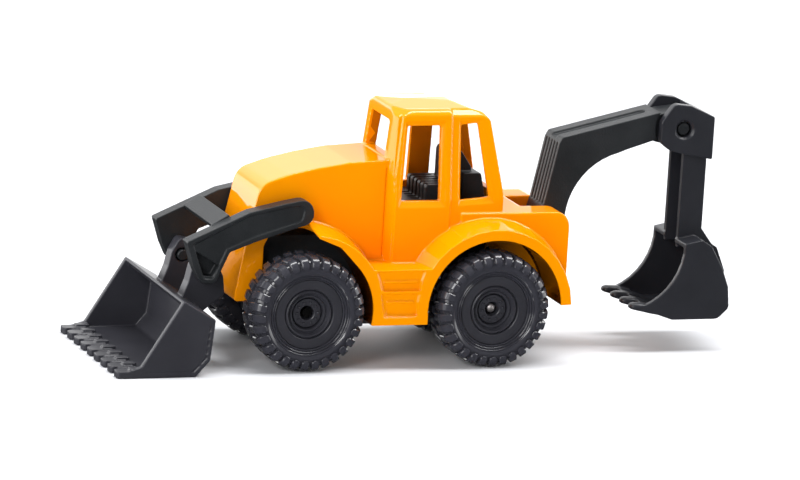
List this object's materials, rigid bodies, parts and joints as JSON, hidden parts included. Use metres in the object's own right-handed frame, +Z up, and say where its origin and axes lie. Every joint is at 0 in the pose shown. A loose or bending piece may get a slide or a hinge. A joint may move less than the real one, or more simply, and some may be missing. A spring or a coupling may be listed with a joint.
{
  "type": "toy backhoe loader",
  "caption": "Toy backhoe loader: an orange body on a black chassis, rolling wheels, a lifting loader with a tilting bucket, and a hoe whose boom pitches and whose stick swings.",
  "frame": {"origin": "centre of the bounding box's base, on the ground under the wheels", "axes": "+X points to the rear, where the hoe is, +Y to the toy's right side, +Z up"},
  "size_m": [0.1202, 0.0356, 0.0463],
  "materials": {
    "orange_paint": "gloss orange paint on die-cast metal",
    "black_plastic": "satin black injection-moulded plastic",
    "tyre_plastic": "hard black plastic, shiny on the lugs",
    "steel": "plain steel"
  },
  "bodies": {
    "body": {"body_casting": "orange_paint", "chassis_plate": "black_plastic", "cab_interior": "black_plastic", "rivet_front": "steel", "rivet_rear": "steel"},
    "front_wheels": {"axle_front": "steel", "tyre_front_left": "tyre_plastic", "tyre_front_right": "tyre_plastic", "rim_front_left": "black_plastic", "rim_front_right": "black_plastic"},
    "rear_wheels": {"axle_rear": "steel", "tyre_rear_left": "tyre_plastic", "tyre_rear_right": "tyre_plastic", "rim_rear_left": "black_plastic", "rim_rear_right": "black_plastic"},
    "loader": {"loader_arms": "black_plastic"},
    "bucket": {"loader_bucket": "black_plastic"},
    "boom": {"boom": "black_plastic"},
    "stick": {"stick_and_hoe": "black_plastic"}
  },
  "joints": [
    {"name": "front_axle_spin", "type": "hinge", "parent": "body", "child": "front_wheels", "pos_m": [-0.0244, 0, 0.0105], "axis": [0, 1, 0], "continuous": true},
    {"name": "rear_axle_spin", "type": "hinge", "parent": "body", "child": "rear_wheels", "pos_m": [0.0107, 0, 0.0105], "axis": [0, 1, 0], "continuous": true},
    {"name": "loader_lift", "type": "hinge", "parent": "body", "child": "loader", "pos_m": [-0.0252, 0, 0.0275], "axis": [0, 1, 0], "range_deg": [0, 60]},
    {"name": "bucket_tilt", "type": "hinge", "parent": "loader", "child": "bucket", "pos_m": [-0.0419, 0, 0.017], "axis": [0, 1, 0], "range_deg": [-30, 30]},
    {"name": "boom_pitch", "type": "hinge", "parent": "body", "child": "boom", "pos_m": [0.0245, 0, 0.0216], "axis": [0, 1, 0], "range_deg": [-30, 12]},
    {"name": "stick_swing", "type": "hinge", "parent": "boom", "child": "stick", "pos_m": [0.04976, 0, 0.04082], "axis": [0, 1, 0], "range_deg": [-40, 20]}
  ]
}
